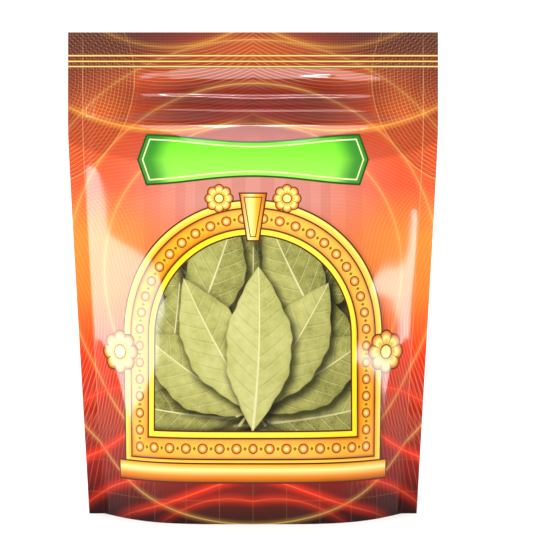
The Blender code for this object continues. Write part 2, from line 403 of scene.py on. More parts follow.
class Paint:
    """Builds the nodes of one tree."""

    def __init__(self, tree):
        self.tree = tree

    def feed(self, socket, value):
        """Links a value to a socket, or sets the socket to a number."""
        if isinstance(value, Value):
            value = value.socket
        if isinstance(value, bpy.types.NodeSocket):
            self.tree.links.new(value, socket)
        else:
            socket.default_value = value

    def node(self, kind, **inputs):
        """A new node, with its inputs fed by name."""
        node = self.tree.nodes.new("ShaderNode" + kind)
        for label, value in inputs.items():
            self.feed(node.inputs[label.replace("_", " ")], value)
        return node

    def math(self, kind, *inputs):
        node = self.node("Math")
        node.operation = kind
        for socket, value in zip(node.inputs, inputs):
            self.feed(socket, value)
        return Value(self, node.outputs[0])

    def smooth(self, value, start, end):
        """0 up to start, 1 from end on, and smooth between them."""
        node = self.node("MapRange", Value=value, From_Min=start, From_Max=end)
        node.interpolation_type = "SMOOTHSTEP"
        node.clamp = False
        return Value(self, node.outputs["Result"])

    def line(self, distance, half, soft=0.12):
        """1 nearer than half, and 0 beyond it."""
        return 1 - self.smooth(abs(distance), half - soft, half + soft)

    def between(self, value, start, end, soft=0.12):
        """1 from start to end, and 0 outside them."""
        rise = self.smooth(value, start - soft, start + soft)
        return rise - self.smooth(value, end - soft, end + soft)

    def nearest(self, value, spacing):
        """Distance to the nearest of evenly spaced values."""
        return self.math("PINGPONG", value, spacing / 2)

    def far(self, a, b):
        return self.math("SQRT", a * a + b * b)

    def lesser(self, a, b):
        return self.math("MINIMUM", a, b)

    def greater(self, a, b):
        return self.math("MAXIMUM", a, b)

    def use(self, group, *values):
        """Adds a group's nodes and gives the colour that they make."""
        node = self.node("Group")
        node.node_tree = group
        for socket, value in zip(node.inputs, values):
            self.feed(socket, value)
        return node.outputs[0]

    def give(self, colour):
        """Makes a colour the group's outcome."""
        sink = self.tree.nodes.new("NodeGroupOutput")
        self.feed(sink.inputs[0], colour)
        return self.tree

    def mix(self, factor, under, over):
        """One colour laid over another."""
        node = self.node("Mix")
        node.data_type = "RGBA"
        for number, value in ((0, factor), (6, under), (7, over)):
            self.feed(node.inputs[number], value)
        return node.outputs[2]

    def cover(self, colour, over, depth, start, end):
        """A colour laid over another from a soft edge inwards."""
        return self.mix(self.smooth(depth, start, end), colour, over)

    def ramp(self, value, stops):
        """A colour that runs through stops, each a place from 0 to 1 and a screen colour."""
        node = self.node("ValToRGB", Fac=value)
        elements = node.color_ramp.elements
        while len(elements) < len(stops):
            elements.new(0.5)
        for element, (place, colour) in zip(elements, stops):
            element.position = place
            element.color = srgb(*colour)
        return node.outputs[0]

    def noise(self, vector, scale, detail):
        node = self.node("TexNoise", Vector=vector, Scale=scale, Detail=detail)
        return Value(self, node.outputs[0])

    def cells(self, vector, scale):
        node = self.node("TexVoronoi", Vector=vector, Scale=scale)
        node.feature = "DISTANCE_TO_EDGE"
        return Value(self, node.outputs["Distance"])

    def map_places(self, map_name, span):
        """The two coordinates of a UV map in millimetres, and the vector they make."""
        node = self.node("UVMap")
        node.uv_map = map_name
        split = self.node("SeparateXYZ", Vector=node.outputs[0])
        across = (Value(self, split.outputs[0]) - MAP_MIDDLE) * span
        along = Value(self, split.outputs[1]) * span
        return across, along, node.outputs[0]


class MaterialPaint(Paint):
    """Builds a material."""

    def __init__(self, name):
        self.material = bpy.data.materials.new(name)
        self.material.use_nodes = True
        super().__init__(self.material.node_tree)
        self.shader = self.tree.nodes["Principled BSDF"]

    def bump(self, height, strength, distance):
        node = self.node("Bump", Strength=strength, Distance=distance, Height=height)
        self.feed(self.shader.inputs["Normal"], node.outputs[0])

    def finish(self, colour, roughness, coat=0.0, coat_roughness=0.03, specular=0.5):
        self.feed(self.shader.inputs["Base Color"], colour)
        self.feed(self.shader.inputs["Roughness"], roughness)
        self.shader.inputs["Specular IOR Level"].default_value = specular
        self.feed(self.shader.inputs["Coat Weight"], coat)
        self.shader.inputs["Coat Roughness"].default_value = coat_roughness
        return self.material


def new_group(name, numbers, colours=()):
    """A set of nodes for use in several places, and its inputs."""
    tree = bpy.data.node_groups.new(name, "ShaderNodeTree")
    kinds = [(label, "Float") for label in numbers] + [(label, "Color") for label in colours]
    for label, kind in kinds:
        tree.interface.new_socket(label, in_out="INPUT", socket_type="NodeSocket" + kind)
    tree.interface.new_socket("Colour", in_out="OUTPUT", socket_type="NodeSocketColor")
    paint = Paint(tree)
    source = tree.nodes.new("NodeGroupInput")
    inputs = [Value(paint, source.outputs[label]) for label in numbers]
    return [paint] + inputs + [source.outputs[label] for label in colours]


# The print's colours from foot to top, as they look on a screen

def heights(*stops):
    """Colour stops placed by height on the film."""
    return [(z / HEIGHT, colour) for z, colour in stops]


CENTRE_COLOURS = heights(
    (0, (20, 0, 0)), (6, (72, 0, 0)), (14, (114, 3, 0)), (24, (134, 10, 4)), (36, (160, 26, 14)),
    (50, (184, 44, 28)), (80, (208, 84, 62)), (112, (210, 108, 88)), (126, (204, 140, 128)),
    (140, (206, 132, 116)), (151, (190, 78, 58)), (157.5, (140, 10, 3)), (163, (116, 0, 0)),
    (170, (120, 2, 0)), (177, (134, 26, 18)), (182, (154, 54, 34)), (188, (178, 72, 40)),
    (195, (160, 66, 38)),
)
SIDE_COLOURS = heights(
    (0, (36, 0, 0)), (8, (70, 0, 0)), (18, (134, 2, 0)), (30, (148, 4, 0)), (50, (186, 10, 0)),
    (66, (230, 38, 0)), (90, (246, 122, 38)), (112, (246, 132, 46)), (132, (232, 82, 48)),
    (150, (230, 78, 34)), (164, (212, 78, 38)), (179, (198, 66, 30)), (185, (150, 60, 36)),
    (189, (114, 50, 42)), (195, (106, 58, 52)),
)
AMBER = srgb(255, 196, 104)
PALE_AMBER = srgb(255, 222, 168)
BRIGHT_GOLD = srgb(255, 184, 70)
GLOW_RED = srgb(255, 48, 14)
RIPPLE_ORANGE = srgb(255, 130, 74)
DEEP_MAROON = srgb(62, 18, 20)
GOLD_LIGHT = srgb(255, 232, 140)
DARK_BROWN = srgb(84, 36, 14)


def fine_lines(paint, colour, over, field, spacing, half, mask, strength):
    """Thin lines along a field's steps."""
    lines = paint.line(paint.nearest(field, spacing), half, 0.1)
    return paint.mix(lines * mask * strength, colour, over)


def crossed_lines(paint, across, up, spacing, half):
    """How strongly a mesh of lines shows."""
    return paint.greater(*(paint.line(paint.nearest(value, spacing), half) for value in (across, up)))


def paint_halos(paint, colour, s, z):
    """Halos that rise round the picture, each fill a little lighter than the last."""
    for radius, strength in ((62, 0.012), (78, 0.014), (96, 0.012)):
        ring = paint.far(s, z - HALO_MIDDLE) - radius
        inside = paint.smooth(-ring, -0.3, 0.3) * paint.smooth(-ring, 46, 0)
        colour = paint.mix(inside * strength, colour, PALE_AMBER)
        glow = paint.smooth(-abs(ring), -2.6, 0) ** 2
        colour = paint.mix(glow * 0.16 + paint.line(ring, 0.22, 0.2) * 0.34, colour, AMBER)
    return colour


def paint_side_discs(paint, colour, s, z):
    """Rippled discs cut by the pouch's edges."""
    ring = paint.far(abs(s) - 92, z - 176) - 44
    disc = paint.smooth(-ring, -0.2, 0.2)
    colour = paint.mix(disc * 0.26, colour, DEEP_MAROON)
    colour = paint.mix(paint.line(ring, 0.22, 0.2) * 0.4, colour, AMBER)
    return fine_lines(paint, colour, AMBER, ring, 1.5, 0.13, paint.between(ring, -26, 0, 4), 0.34)


def paint_zip_shade(paint, colour, s, z):
    """Painted shade over the closed zip: the film darkened in a band with wavy edges."""
    # Painted shade: a darker band with wavy edges across the zip, kept off the middle and the ends
    zip_shade = paint.between(z + 1.2 * paint.math("SINE", s / 9), 156.5, 173, 3)
    return paint.mix(zip_shade * paint.between(abs(s), 20, 54, 9) * 0.42, colour, DEEP_MAROON)


def paint_arcs(paint, colour, s, z):
    """Arched ripples over the picture, standing ones beside it, and swags that cross the arched ones."""
    a = abs(s)
    zip_clear = 1 - paint.between(z, 158, 174, 3) * paint.smooth(a, 66, 44) * 0.85
    arched = paint.far(s, z + 58) + 1.6 * paint.math("SINE", s / 9)
    mask = paint.between(arched, 180, 232, 14) * paint.smooth(a, 6, 40) * zip_clear
    colour = fine_lines(paint, colour, AMBER, arched, 1.45, 0.1, mask, 0.16)
    standing = paint.far(a - 128, z - 78) + 1.2 * paint.math("SINE", z / 7)
    mask = paint.between(standing, 54, 88, 8) * paint.between(z, 34, 132, 14)
    colour = fine_lines(paint, colour, AMBER, standing, 1.6, 0.15, mask, 0.26)
    swag = paint.far(a - 34, z - 246)
    colour = paint.mix(paint.between(swag, 92, 104, 1.5) * 0.3, colour, DEEP_MAROON)
    mask = paint.between(swag, 56, 91, 3) * paint.between(z, 146, 200, 4) * zip_clear
    colour = fine_lines(paint, colour, BRIGHT_GOLD, swag, 1.4, 0.12, mask, 0.42)
    for radius in (57, 91):
        edge = abs(swag - radius)
        glow = paint.smooth(-edge, -3.2, 0) ** 2 * 0.3 + paint.line(edge, 0.2, 0.2) * 0.5
        colour = paint.mix(glow * paint.between(z, 140, 200, 8) * zip_clear, colour, BRIGHT_GOLD)
    return colour


def paint_foot(paint, colour, s, z):
    """Upright rays in the lower sides, and glowing ripples that weaken towards the foot's edge."""
    a = abs(s)
    ray = paint.math("ARCTAN2", a, 300 - z) * 300
    mask = paint.smooth(a, 30, 52) * paint.between(z, 12, 62, 10)
    colour = fine_lines(paint, colour, AMBER, ray, 2.3, 0.13, mask, 0.18)
    rising = paint.smooth(z, -5, 13)
    for radius, strength in ((60, 0.6), (68, 0.9), (80, 0.65), (97, 0.9), (112, 0.6)):
        ripple = paint.far(s * 0.8, z + 52) + 2.5 * paint.math("SINE", a / 12 + radius) - radius
        glow = paint.smooth(-abs(ripple), -4.2, 0) ** 2
        colour = paint.mix(glow * rising * strength * 0.7, colour, GLOW_RED)
        line = paint.line(ripple, 0.2, 0.3) * rising * strength * 0.5
        colour = paint.mix(line, colour, RIPPLE_ORANGE)
    return colour


def paint_crossings(paint, colour, s, z):
    """A cross-woven tint in the top corners and a wide plain check in the foot."""
    weave = crossed_lines(paint, s, z, 1.05, 0.2)
    corner = paint.smooth(z + abs(s) * 0.45, 186, 214)
    colour = paint.mix(corner * 0.5, colour, srgb(96, 58, 56))
    colour = paint.mix(weave * corner * 0.6, colour, srgb(58, 26, 26))
    check = crossed_lines(paint, s, z + 4, 13, 0.14)
    return paint.mix(check * paint.smooth(-z, -46, -20) * 0.07, colour, AMBER)


def paint_uprights(paint, colour, s, z):
    """Faint see-through uprights in the pale middle."""
    uprights = ((3, 8.5, 168, 0.16), (13, 23, 158, 0.12), (27, 31, 150, 0.14), (37, 44, 160, 0.1))
    for start, end, top, strength in uprights:
        upright = paint.between(abs(s), start, end, 0.2) * paint.between(z, 24, top, 0.3)
        colour = paint.mix(upright * strength, colour, srgb(150, 40, 40))
    return colour


def paint_straight_lines(paint, colour, s, z):
    """A painted highlight along the inner edge of each side seal, where the film folds, and the gold
    lines on the top seal.
    """
    # Painted highlight: a pale line along each side seal's inner edge, where the film folds
    seal_highlight = paint.line(abs(s) - FREE_HALF, 0.14, 0.16) * paint.between(z, 40, 188, 12)
    colour = paint.mix(seal_highlight * 0.3, colour, PALE_AMBER)
    for height in GOLD_LINES:
        colour = paint.mix(paint.line(z - height, 0.55, 0.2) * 0.8, colour, srgb(150, 62, 22))
        colour = paint.mix(paint.line(z - height, 0.22, 0.14), colour, srgb(255, 222, 128))
    return colour


def paint_band(paint, colour, s, z):
    """A plain green band, narrower in the middle, with darker cut ends and a pale hairline."""
    waist = 1.6 * paint.math("COSINE", s / (BAND_HALF_WIDTH / math.pi))
    tall = BAND_HALF_HEIGHT - waist - abs(z - BAND_MIDDLE)
    long = BAND_HALF_WIDTH - abs(s) - 0.35 * abs(z - BAND_MIDDLE)
    inside = paint.lesser(tall, long)
    green = paint.ramp(
        (z - BAND_MIDDLE) / 20 + 0.5,
        [(0.1, (150, 232, 84)), (0.5, (134, 226, 62)), (0.8, (112, 220, 40)), (0.95, (70, 176, 32))],
    )
    ends = paint.smooth(-long, -13, -3)
    green = paint.mix(ends * 0.85, green, srgb(28, 112, 40))
    colour = paint.cover(colour, srgb(30, 74, 26), inside, -0.9, -0.7)
    colour = paint.cover(colour, green, inside, -0.15, 0.15)
    return paint.mix(paint.line(inside - 1.5, 0.26, 0.14), colour, srgb(236, 250, 170))


def base_group():
    """The print all over the pouch: glowing sides, pale middle, dark foot, fine lines and a band, with
    painted shade over the zip and a painted highlight along the side seals.
    """
    paint, s, z = new_group("base_print", ("s", "z"))
    centre = paint.ramp(z / HEIGHT, CENTRE_COLOURS)
    sides = paint.ramp(z / HEIGHT, SIDE_COLOURS)
    colour = paint.cover(centre, sides, abs(s), 14, 64)
    layers = (
        paint_halos, paint_side_discs, paint_zip_shade, paint_arcs, paint_foot, paint_crossings,
        paint_uprights, paint_straight_lines, paint_band,
    )
    for layer in layers:
        colour = layer(paint, colour, s, z)
    return paint.give(colour)


def arch_inside(paint, s, z):
    """How far inside the frame's outline a place is."""
    over = paint.greater(z - ARCH_SPRING, 0.0)
    return paint.lesser(ARCH_HALF_WIDTH - paint.far(s, over), z - ARCH_FOOT)


def frame_group():
    """A gold arch-headed frame with beads between its mouldings, round a picture."""
    paint, s, z, colour, picture = new_group("gold_frame", ("s", "z"), ("Under", "Picture"))
    inside = arch_inside(paint, s, z)
    shadow = paint.smooth(arch_inside(paint, s - 1.2, z + 1.6), -3.2, 0.6)
    colour = paint.mix(shadow * 0.4, colour, srgb(70, 22, 18))
    gold = paint.ramp(
        inside / FRAME_WIDTH,
        [(0.04, (255, 222, 96)), (0.16, (250, 184, 40)), (0.24, (206, 104, 20)), (0.3, (246, 160, 34)),
         (0.5, (252, 184, 34)), (0.7, (246, 148, 22)), (0.76, (190, 84, 14)), (0.84, (255, 228, 30))],
    )
    sheen = paint.smooth(paint.math("SINE", z / 17 + s / 23), -1, 1)
    gold = paint.mix(sheen * 0.2, gold, srgb(255, 236, 140))
    band = FRAME_WIDTH * 0.5
    turn = paint.math("ARCTAN2", z - ARCH_SPRING, abs(s)) * (ARCH_HALF_WIDTH - band)
    # Beads are counted from the lower corners, so that one sits on each mitre
    side_length = ARCH_SPRING - ARCH_FOOT - band
    upright = paint.lesser(z - ARCH_SPRING, 0.0) + paint.greater(turn, 0.0) + side_length
    sill = paint.smooth(ARCH_HALF_WIDTH - abs(s) - (z - ARCH_FOOT), -0.01, 0.01)
    along = upright * (1 - sill) + (ARCH_HALF_WIDTH - band - abs(s)) * sill
    bead = paint.far(paint.nearest(along, BEAD_SPACING), inside - band)
    gold = paint.cover(gold, DARK_BROWN, -bead, -2.15, -1.9)
    shine = paint.smooth(-bead, -1.7, -0.1)
    ball = paint.mix(shine, srgb(226, 110, 24), GOLD_LIGHT)
    gold = paint.cover(gold, ball, -bead, -1.75, -1.6)
    lozenge = paint.nearest(along + BEAD_SPACING / 2, BEAD_SPACING) * 1.2 + abs(inside - band)
    gold = paint.mix(paint.smooth(-lozenge, -0.95, -0.7) * 0.8, gold, DARK_BROWN)
    for edge in (2.9, 11.0):
        gold = paint.mix(paint.line(inside - edge, 0.3), gold, DARK_BROWN)
    colour = paint.cover(colour, DARK_BROWN, inside, -0.75, -0.55)
    colour = paint.cover(colour, gold, inside, -0.1, 0.1)
    colour = paint.cover(colour, DARK_BROWN, inside, FRAME_WIDTH - 0.75, FRAME_WIDTH - 0.55)
    colour = paint.cover(colour, picture, inside, FRAME_WIDTH - 0.1, FRAME_WIDTH + 0.1)
    colour = paint_rosette(paint, colour, abs(s) - 55.5, z - 66, 8.2)
    colour = paint_rosette(paint, colour, abs(s) - 13.5, z - 127, 5.4)
    return paint.give(paint_plinth(paint, colour, s, z))


def paint_outlined(paint, colour, face, depth):
    """A shape in a dark outline."""
    colour = paint.cover(colour, DARK_BROWN, depth, -0.7, -0.5)
    return paint.cover(colour, face, depth, -0.1, 0.1)


def paint_rosette(paint, colour, across, up, radius):
    """A gold rosette of eight petals round a boss."""
    turn = paint.math("ARCTAN2", up, across)
    lobe = abs(paint.math("COSINE", turn * 4))
    away = paint.far(across, up) / radius
    rim = 0.86 + lobe * 0.14 - away
    gold = paint.ramp(
        away - lobe * 0.16 + 0.16,
        [(0.2, (206, 104, 22)), (0.5, (252, 186, 50)), (0.72, (255, 236, 140)), (0.95, (226, 126, 28))],
    )
    petals = paint.smooth(lobe, 0.3, 0.05) * paint.smooth(away, 0.3, 0.4)
    gold = paint.mix(petals * 0.75, gold, DARK_BROWN)
    colour = paint.cover(colour, DARK_BROWN, rim, -0.1, -0.07)
    colour = paint.cover(colour, gold, rim, -0.015, 0.015)
    colour = paint.cover(colour, DARK_BROWN, away, 0.38, 0.35)
    return paint.cover(colour, GOLD_LIGHT, away, 0.32, 0.26)


def paint_plinth(paint, colour, s, z):
    """A moulded bar under the frame and a keystone at its head."""
    bar = paint.lesser(PLINTH_HALF_WIDTH - abs(s), 3.4 - abs(z - ARCH_FOOT + 2.4))
    face = paint.ramp(
        (z - ARCH_FOOT + 6) / 8,
        [(0.0, (150, 60, 16)), (0.3, (240, 140, 30)), (0.6, (255, 236, 150)), (0.8, (250, 176, 44)),
         (1.0, (150, 64, 18))],
    )
    colour = paint_outlined(paint, colour, face, bar)
    top = ARCH_SPRING + ARCH_HALF_WIDTH
    key = paint.lesser(4.6 + (z - top) * 0.16 - abs(s), 9.2 - abs(z - top + 6.4))
    stone = paint.ramp(
        s / 12 + 0.5,
        [(0.1, (228, 120, 26)), (0.42, (255, 238, 150)), (0.6, (250, 186, 50)), (0.9, (206, 96, 22))],
    )
    colour = paint_outlined(paint, colour, stone, key)
    return paint.mix(paint.line(key - 1.3, 0.2), colour, DARK_BROWN)


LEAF_BEND = 0.0013

# The pictured leaves, the hindmost first: middle across and up, lean, length, width, lightness
PICTURED_LEAVES = (
    (-27, 99, -44, 52, 24, 0.26), (28, 98, 46, 52, 25, 0.32), (1, 105, 84, 50, 22, 0.22),
    (-33, 66, 8, 56, 25, 0.28), (34, 62, -12, 56, 24, 0.34), (-2, 78, 4, 60, 26, 0.2),
    (-16, 96, 20, 50, 23, 0.46), (17, 96, -26, 50, 24, 0.4), (-24, 43, -84, 54, 23, 0.3),
    (25, 42, 82, 54, 23, 0.36), (-22, 58, -56, 56, 25, 0.58), (23, 58, 60, 56, 24, 0.5),
    (-13, 69, -29, 60, 25, 0.8), (14, 68, 32, 60, 26, 0.7), (1, 68, 2, 64, 26, 0.95),
)


def leaf_outline(paint, s, z, s0, z0, sine, cosine, length, width, bend):
    """A place's distance along a leaf, its distance from the midrib, and its depth inside."""
    along = (s - s0) * sine + (z - z0) * cosine
    across = (s - s0) * cosine - (z - z0) * sine
    across = across - bend * along * (length - along)
    t = paint.lesser(paint.greater(along / length, 0.0), 1.0)
    swell = paint.math("SINE", t * math.pi) ** 0.92 * (width / 2)
    wave = 0.4 * paint.math("SINE", along * 0.33 + width)
    wave = wave + 0.22 * paint.math("SINE", along * 0.9 + sine * 9)
    wave = wave * paint.smooth(t, 0.02, 0.25) * paint.smooth(t, 1.0, 0.75)
    return along, across, swell + wave - abs(across)


def leaf_group():
    """One pictured leaf laid over what is under it, with its shadow, fold and veins."""
    labels = "s z s0 z0 sine cosine length width bend lightness mottle net".split()
    paint, s, z, *inputs = new_group("pictured_leaf", labels, ("Under",))
    s0, z0, sine, cosine, length, width, bend, lightness, mottle, net, colour = inputs
    form = (s0, z0, sine, cosine, length, width, bend)
    _, _, shadow = leaf_outline(paint, s - 1.2, z + 1.6, *form)
    colour = paint.mix(paint.smooth(shadow, -3.6, 1.0) * 0.88, colour, srgb(26, 24, 12))
    along, across, inside = leaf_outline(paint, s, z, *form)
    folded = paint.smooth(across, -0.5, 0.5)
    near_edge = paint.smooth(inside, 3.5, 0.0)
    light = 0.14 + lightness * 0.56 + mottle * 0.42 - folded * 0.12 - near_edge * 0.07
    face = paint.ramp(
        light,
        [(0.1, (110, 108, 46)), (0.32, (152, 150, 76)), (0.55, (184, 182, 106)), (1.0, (222, 220, 156))],
    )
    rise = along - abs(across) * 0.7 - across * across * 0.018 + folded * 3.1
    vein = paint.line(paint.nearest(rise, 6.2), 0.14, 0.14) * paint.smooth(inside, -0.2, 2.6)
    shade = paint.line(paint.nearest(rise - 0.5, 6.2), 0.5, 0.5) * paint.smooth(inside, -0.2, 2.6)
    face = paint.mix(shade * 0.2, face, srgb(96, 98, 48))
    face = paint.mix(vein * 0.55, face, srgb(214, 210, 150))
    face = paint.mix(net * 0.2, face, srgb(206, 202, 140))
    rib = 1 - paint.smooth(abs(across) - (0.5 - along / length * 0.36), -0.1, 0.12)
    face = paint.mix(rib * 0.8, face, srgb(224, 218, 164))
    face = paint.mix(paint.smooth(inside, 0.6, 0.1) * 0.4, face, srgb(132, 116, 58))
    stalk = paint.between(along, -6.0, 1.0) * paint.line(across, 0.5)
    colour = paint.mix(stalk, colour, srgb(186, 174, 110))
    return paint.give(paint.cover(colour, face, inside, -0.1, 0.12))


def paint_picture(paint, s, z, vector):
    """A fan of bay leaves over a heap of them."""
    colour = paint.ramp(z / HEIGHT, heights((36, (60, 56, 26)), (74, (92, 88, 44)), (112, (56, 54, 26))))
    mottle = paint.noise(vector, 60, 4) + paint.noise(vector, 16, 2) - 1.0
    net = 1 - paint.smooth(paint.cells(vector, 150), 0.02, 0.09)
    group = leaf_group()
    for s0, z0, lean, length, width, lightness in PICTURED_LEAVES:
        sine, cosine = math.sin(math.radians(lean)), math.cos(math.radians(lean))
        stalk = (s0 - sine * length / 2, z0 - cosine * length / 2)
        form = (*stalk, sine, cosine, length, width, math.copysign(LEAF_BEND, lean))
        colour = paint.use(group, s, z, *form, lightness, mottle, net, colour)
    return colour


def film_finish(paint, colour, vector, z):
    """Clear glossy film over the print, with the faint unevenness of laminate, duller at the foot."""
    paint.bump(paint.noise(vector, 34, 3), 0.05, 0.0006)
    gloss = FOOT_GLOSS + paint.smooth(z, 2, FULL_GLOSS) * GLOSS_GAIN
    return paint.finish(colour, 0.45, coat=gloss, coat_roughness=0.07, specular=0.05)


def start_print(name, base):
    """A material that starts with the base print, and the places on the film."""
    paint = MaterialPaint(name)
    s, z, vector = paint.map_places("Print", PRINT_SPAN)
    return paint, s, z, vector, paint.use(base, s, z)


def base_material(base):
    """The front's print beside the frame."""
    paint, _, z, vector, colour = start_print("printed_film", base)
    return film_finish(paint, colour, vector, z)


def picture_material(base):
    """The front's print with the frame and its picture."""
    paint, s, z, vector, under = start_print("printed_film_picture", base)
    picture = paint_picture(paint, s, z, vector)
    return film_finish(paint, paint.use(frame_group(), s, z, under, picture), vector, z)


def back_material(base):
    """The back's print: the same base with a bare cream panel in a gold line."""
    paint, s, z, vector, colour = start_print("printed_film_back", base)
    half_across, half_up = (half - PANEL_CORNER for half in PANEL_HALVES)
    over_s = paint.greater(abs(s) - half_across, 0.0)
    over_z = paint.greater(abs(z - PANEL_MIDDLE) - half_up, 0.0)
    inside = PANEL_CORNER - paint.far(over_s, over_z)
    colour = paint_outlined(paint, colour, srgb(250, 190, 60), inside)
    colour = paint.cover(colour, srgb(236, 218, 184), inside, 1.5, 1.7)
    return film_finish(paint, colour, vector, z)


def gusset_material():
    """The foot's film: dark mottled red with fine ripples."""
    paint = MaterialPaint("printed_film_gusset")
    s, z, vector = paint.map_places("Print", PRINT_SPAN)
    colour = paint.mix(paint.noise(vector, 9, 2), srgb(58, 10, 12), srgb(120, 24, 20))
    colour = fine_lines(paint, colour, srgb(214, 70, 40), paint.far(s, z + 30), 2.6, 0.2, 1.0, 0.3)
    return film_finish(paint, colour, vector, z)


def foil_material():
    """The film's unprinted inner side: satin silver with a faint rolled grain."""
    paint = MaterialPaint("inner_foil")
    _, _, vector = paint.map_places("Print", PRINT_SPAN)
    grain = paint.noise(vector, 220, 3)
    colour = paint.mix(grain, srgb(186, 187, 188), srgb(214, 214, 212))
    paint.bump(grain, 0.05, 0.0003)
    paint.shader.inputs["Metallic"].default_value = 0.85
    return paint.finish(colour, 0.34)


def zip_material():
    """Milky polythene with the fine marks of its extrusion."""
    paint = MaterialPaint("zip_polythene")
    grain = paint.noise(paint.node("TexCoord").outputs["Object"], 900, 2)
    colour = paint.mix(grain, srgb(214, 216, 214), srgb(236, 238, 236))
    paint.bump(grain, 0.08, 0.0002)
    return paint.finish(colour, 0.36)


def leaf_material():
    """A dried bay leaf: mottled olive, with paler veins and midrib."""
    paint = MaterialPaint("dried_bay_leaf")
    across, along, vector = paint.map_places("Leaf", LEAF_SPAN)
    mottle = paint.noise(vector, 40, 4)
    face = paint.ramp(mottle, [(0.3, (118, 122, 66)), (0.5, (146, 148, 86)), (0.7, (172, 172, 108))])
    rise = along - abs(across) * 0.85 + paint.smooth(across, -0.01, 0.01) * 3.3
    vein = paint.line(paint.nearest(rise, 6.6), 0.2, 0.16)
    net = 1 - paint.smooth(paint.cells(vector, 90), 0.02, 0.09)
    raised = vein * 0.8 + net * 0.35
    face = paint.mix(raised * 0.6, face, srgb(204, 198, 138))
    rib = 1 - paint.smooth(abs(across), 0.45, 0.8)
    face = paint.mix(rib * 0.8, face, srgb(206, 194, 134))
    paint.bump(raised + rib + mottle * 0.5, 0.5, 0.0003)
    return paint.finish(face, 0.52 + mottle * 0.12)


# Pieces

def film_panel(name, side, phase, outside):
    """The front or back film: outer print, inner foil and a cut rim."""
    across, up = mesh_lines()
    s, z = np.meshgrid(across, up)
    middle = film_points(s, z, side, phase)
    normals = grid_normals(middle)
    normals *= np.sign(normals[..., 1:2]) * side
    outer = middle + normals * FILM / 2
    inner = middle - normals * FILM / 2
    for grid in (outer, inner):
        grid[0, :, 2], grid[-1, :, 2] = 0.0, HEIGHT
        grid[:, 0, 0], grid[:, -1, 0] = middle[:, 0, 0], middle[:, -1, 0]
    cell_s = (s[:-1, :-1] + s[1:, 1:]) / 2
    cell_z = (z[:-1, :-1] + z[1:, 1:]) / 2
    pictured = (np.abs(cell_s) < PICTURE_REACH) & (cell_z > PICTURE_FOOT) & (cell_z < PICTURE_TOP)
    _, other_faces, rim_faces = sheet_faces(*s.shape)
    foil_faces = len(other_faces) + len(rim_faces)
    slots = np.concatenate([pictured.ravel(), np.full(foil_faces, 2)]).astype(np.int32)
    return build_sheet(name, outer, inner, outside + [foil_material()], slots, sheet_maps(s, z))


def seal_height(r):
    """Height of the round-cornered seal between the gusset and a panel."""
    return SKIRT_SEAL + (GUSSET_FOLD - SKIRT_SEAL) * (1 - np.sqrt(1 - (SEAL_CURVE_REACH * r) ** 2))


def arch_line(chord, rise, turns):
    """The gusset's arch from one side to the middle: places across and heights."""
    power = 2 / ARCH_SQUARENESS
    return chord * np.cos(turns) ** power, rise * np.sin(turns) ** power


def arch_rise(chord, film):
    """The rise at which half the arch is as long as this much film."""
    turns = np.linspace(0, math.pi / 2, ARCH_SAMPLES)
    low, high = 0.0, film
    for _ in range(ARCH_HALVINGS):
        middle = (low + high) / 2
        beside, over = arch_line(chord, middle, turns)
        if np.hypot(np.diff(beside), np.diff(over)).sum() < film:
            low = middle
        else:
            high = middle
    return low


def gusset_half(s, phase):
    """Half the gusset, from one panel's foot to the top of the arch: depths and heights."""
    skirt_steps = np.linspace(0, 1, 7)
    turns = np.linspace(0, math.pi / 2, 17)[1:]
    rows = []
    for place in s:
        r = float(free_place(np.array([place]), np.array([GUSSET_FOLD / 2]))[0])
        sealed = float(seal_height(min(r, 1.0)))
        skirt_heights = sealed * skirt_steps
        skirt = film_depth(np.full(skirt_heights.shape, place), skirt_heights, phase) - LAYER
        chord = max(float(skirt[-1]), LAYER / 2)
        rise = arch_rise(chord, GUSSET_FOLD - sealed)
        beside, over = arch_line(chord, rise, turns)
        heights_up = np.concatenate([skirt_heights, sealed + over])
        limit = film_depth(np.full(heights_up.shape, place), heights_up, phase) - LAYER
        depth = np.minimum(np.concatenate([skirt, beside]), np.maximum(limit, LAYER / 2))
        depth[:-1] = np.maximum(depth[:-1], THINNEST)
        depth[-1] = 0.0
        rows.append(np.stack([depth, heights_up], axis=1))
    return np.array(rows)


def gusset_piece():
    """The foot's film: skirts along both panels and the arch between them."""
    across, _ = mesh_lines()
    front, back = (gusset_half(across, phase) for phase in (FRONT_PHASE, BACK_PHASE))
    front[:, -1, 1] = np.maximum(front[:, -1, 1], back[:, -1, 1])
    profile = np.concatenate([front * np.array([-1, 1]), back[:, -2::-1]], axis=1)
    s = np.repeat(across[:, None], profile.shape[1], axis=1)
    y, z = profile[..., 0], profile[..., 1]
    middle = np.stack([film_across(s, z), y, z], axis=-1)
    normals = grid_normals(middle)
    half = np.minimum(FILM / 2, np.abs(y) * 0.5 + THINNEST)[..., None]
    outer, inner = middle + normals * half, middle - normals * half
    for grid in (outer, inner):
        grid[:, 0, 2], grid[:, -1, 2] = 0.0, 0.0
        grid[0, :, 0], grid[-1, :, 0] = middle[0, :, 0], middle[-1, :, 0]
    steps = np.hypot(np.diff(y, axis=1), np.diff(z, axis=1))
    girth = np.concatenate([np.zeros((len(s), 1)), np.cumsum(steps, axis=1)], axis=1)
    slots = np.zeros(sum(len(faces) for faces in sheet_faces(*s.shape)), np.int32)
    return build_sheet("film_gusset", outer, inner, [gusset_material()], slots, sheet_maps(s, girth))


